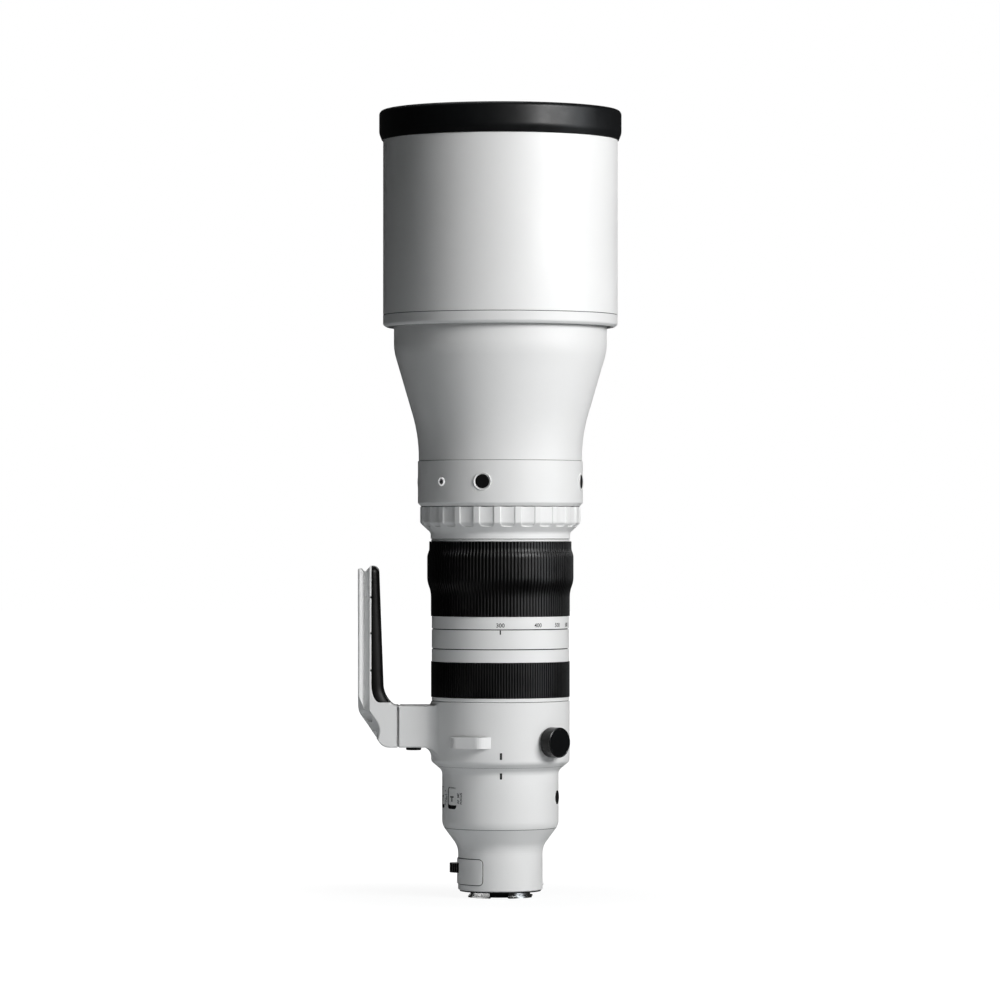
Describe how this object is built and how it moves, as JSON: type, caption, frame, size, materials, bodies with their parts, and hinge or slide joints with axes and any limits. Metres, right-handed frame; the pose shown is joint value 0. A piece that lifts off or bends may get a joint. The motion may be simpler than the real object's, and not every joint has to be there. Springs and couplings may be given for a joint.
{
  "type": "camera zoom lens",
  "caption": "White super-telephoto zoom lens with ribbed zoom and focus rings, a scalloped preset ring, a deep hood, a rear filter drawer and a rotating tripod collar with a grip foot.",
  "frame": {"origin": "centre of the mount's flange face, on the optical axis", "axes": "+Z along the optical axis to the front, -X to the tripod foot, -Y to the side with the zoom scale"},
  "size_m": [0.2064, 0.1947, 0.6161],
  "materials": {
    "white_paint": "fine matte enamel",
    "white_hood": "fine matte enamel over composite",
    "black_paint": "matte black",
    "black_anodised": "black anodised",
    "black_plastic": "moulded matte",
    "grip_rubber": "ribbed matte rubber",
    "rim_rubber": "smooth matte rubber",
    "seal_rubber": "smooth",
    "mount_steel": "turned satin",
    "screw_steel": "satin",
    "gold": "gold plated",
    "brass": "machined",
    "aluminium": "machined",
    "board": "solder mask",
    "coated_glass": "coated optical glass",
    "filter_glass": "plane optical glass",
    "switch_white": "moulded semi-gloss"
  },
  "bodies": {
    "barrel": {"bayonet_mount": "mount_steel", "bayonet_screws": "screw_steel", "mount_seal": "seal_rubber", "contact_block": "black_plastic", "contact_pins": "gold", "rear_barrel": "white_paint", "switch_barrel": "white_paint", "main_barrel": "black_anodised", "index_band": "white_paint", "button_band": "white_paint", "front_barrel": "white_paint", "front_retaining_ring": "black_anodised", "front_element": "coated_glass", "second_element": "coated_glass", "guide_tube": "aluminium", "iris_housing": "black_anodised", "iris_blades": "black_paint", "rear_cell": "black_anodised", "rear_elements": "coated_glass", "circuit_board": "board", "focus_rails": "screw_steel"},
    "zoom_ring": {"zoom_sleeve": "white_paint", "zoom_rubber": "grip_rubber", "cam_tube": "black_anodised", "zoom_key": "screw_steel"},
    "focus_ring": {"focus_sleeve": "white_paint", "focus_rubber": "grip_rubber"},
    "preset_ring": {"preset_ring": "white_paint"},
    "variator": {"variator_cell": "aluminium", "variator_elements": "coated_glass", "variator_rollers": "brass"},
    "compensator": {"compensator_cell": "aluminium", "compensator_elements": "coated_glass", "compensator_rollers": "brass"},
    "focus_group": {"focus_cell": "aluminium", "focus_elements": "coated_glass"},
    "collar": {"collar": "white_paint", "tripod_foot": "white_paint", "foot_screws": "black_paint", "grip_pad": "grip_rubber", "strap_lugs": "white_paint"},
    "collar_knob": {"collar_knob": "black_paint"},
    "click_button": {"click_button": "black_plastic"},
    "hood": {"hood_tube": "white_hood", "hood_base": "white_paint", "hood_rim": "rim_rubber"},
    "hood_knob": {"hood_knob": "black_paint"},
    "focus_button_1": {"focus_button_1": "black_plastic"},
    "focus_button_2": {"focus_button_2": "black_plastic"},
    "focus_button_3": {"focus_button_3": "black_plastic"},
    "focus_button_4": {"focus_button_4": "black_plastic"},
    "function_button": {"function_button": "black_plastic"},
    "switch_1": {"switch_1": "switch_white"},
    "switch_2": {"switch_2": "switch_white"},
    "switch_3": {"switch_3": "switch_white"},
    "switch_4": {"switch_4": "switch_white"},
    "filter_drawer": {"filter_drawer": "white_paint"},
    "filter_wheel": {"filter_wheel": "black_plastic"},
    "filter_ring": {"filter_ring": "black_anodised", "filter_glass": "filter_glass"}
  },
  "joints": [
    {"name": "zoom_turn", "type": "hinge", "parent": "barrel", "child": "zoom_ring", "pos_m": [0, 0, 0.24], "axis": [0, 0, 1], "range_deg": [-73, 0]},
    {"name": "variator_slide", "type": "slide", "parent": "barrel", "child": "variator", "axis": [0, 0, 1], "range_m": [-0.044, 0]},
    {"name": "compensator_slide", "type": "slide", "parent": "barrel", "child": "compensator", "axis": [0, 0, 1], "range_m": [-0.018, 0]},
    {"name": "focus_turn", "type": "hinge", "parent": "barrel", "child": "focus_ring", "pos_m": [0, 0, 0.17], "axis": [0, 0, 1], "continuous": true},
    {"name": "focus_group_slide", "type": "slide", "parent": "barrel", "child": "focus_group", "axis": [0, 0, 1], "range_m": [0, 0.012]},
    {"name": "preset_turn", "type": "hinge", "parent": "barrel", "child": "preset_ring", "pos_m": [0, 0, 0.29], "axis": [0, 0, 1], "range_deg": [-12, 12], "stiffness_Nm_per_rad": 0.6},
    {"name": "collar_turn", "type": "hinge", "parent": "barrel", "child": "collar", "pos_m": [0, 0, 0.125], "axis": [0, 0, 1], "continuous": true},
    {"name": "collar_knob_turn", "type": "hinge", "parent": "collar", "child": "collar_knob", "pos_m": [0.04243, -0.04243, 0.118], "axis": [0.7071, -0.7071, 0], "range_deg": [0, 270]},
    {"name": "click_button_press", "type": "slide", "parent": "collar", "child": "click_button", "axis": [0, 0, 1], "range_m": [0, 0.0015], "stiffness_N_per_m": 300},
    {"name": "hood_lift", "type": "slide", "parent": "barrel", "child": "hood", "axis": [0, 0, 1], "range_m": [0, 0.04]},
    {"name": "hood_knob_turn", "type": "hinge", "parent": "hood", "child": "hood_knob", "pos_m": [0, 0.095, 0.455], "axis": [0, 1, 0], "range_deg": [0, 270]},
    {"name": "focus_button_1_press", "type": "slide", "parent": "barrel", "child": "focus_button_1", "axis": [0.2164, 0.9763, 0], "range_m": [0, 0.0008], "stiffness_N_per_m": 300},
    {"name": "focus_button_2_press", "type": "slide", "parent": "barrel", "child": "focus_button_2", "axis": [-0.9763, 0.2164, 0], "range_m": [0, 0.0008], "stiffness_N_per_m": 300},
    {"name": "focus_button_3_press", "type": "slide", "parent": "barrel", "child": "focus_button_3", "axis": [-0.2164, -0.9763, 0], "range_m": [0, 0.0008], "stiffness_N_per_m": 300},
    {"name": "focus_button_4_press", "type": "slide", "parent": "barrel", "child": "focus_button_4", "axis": [0.9763, -0.2164, 0], "range_m": [0, 0.0008], "stiffness_N_per_m": 300},
    {"name": "function_button_press", "type": "slide", "parent": "barrel", "child": "function_button", "axis": [-0.9744, 0.225, 0], "range_m": [0, 0.0008], "stiffness_N_per_m": 300},
    {"name": "switch_1_slide", "type": "slide", "parent": "barrel", "child": "switch_1", "axis": [0, 0, -1], "range_m": [0, 0.0025]},
    {"name": "switch_2_slide", "type": "slide", "parent": "barrel", "child": "switch_2", "axis": [0, 0, -1], "range_m": [0, 0.0025]},
    {"name": "switch_3_slide", "type": "slide", "parent": "barrel", "child": "switch_3", "axis": [0, 0, -1], "range_m": [0, 0.0025]},
    {"name": "switch_4_slide", "type": "slide", "parent": "barrel", "child": "switch_4", "axis": [0, 0, -1], "range_m": [0, 0.0025]},
    {"name": "filter_drawer_slide", "type": "slide", "parent": "barrel", "child": "filter_drawer", "axis": [-1, 0, 0], "range_m": [0, 0.062]},
    {"name": "filter_wheel_turn", "type": "hinge", "parent": "filter_drawer", "child": "filter_wheel", "pos_m": [-0.0303, 0, 0.018], "axis": [0, 0, 1], "continuous": true},
    {"name": "filter_ring_turn", "type": "hinge", "parent": "filter_drawer", "child": "filter_ring", "pos_m": [0, 0, 0.018], "axis": [0, 0, 1], "continuous": true}
  ],
  "couplings": [
    {"joint": "variator_slide", "follows": "zoom_turn", "m_per_rad": 0.034534},
    {"joint": "compensator_slide", "follows": "zoom_turn", "m_per_rad": 0.014127},
    {"joint": "filter_wheel_turn", "follows": "filter_ring_turn", "ratio": -2.3667}
  ]
}
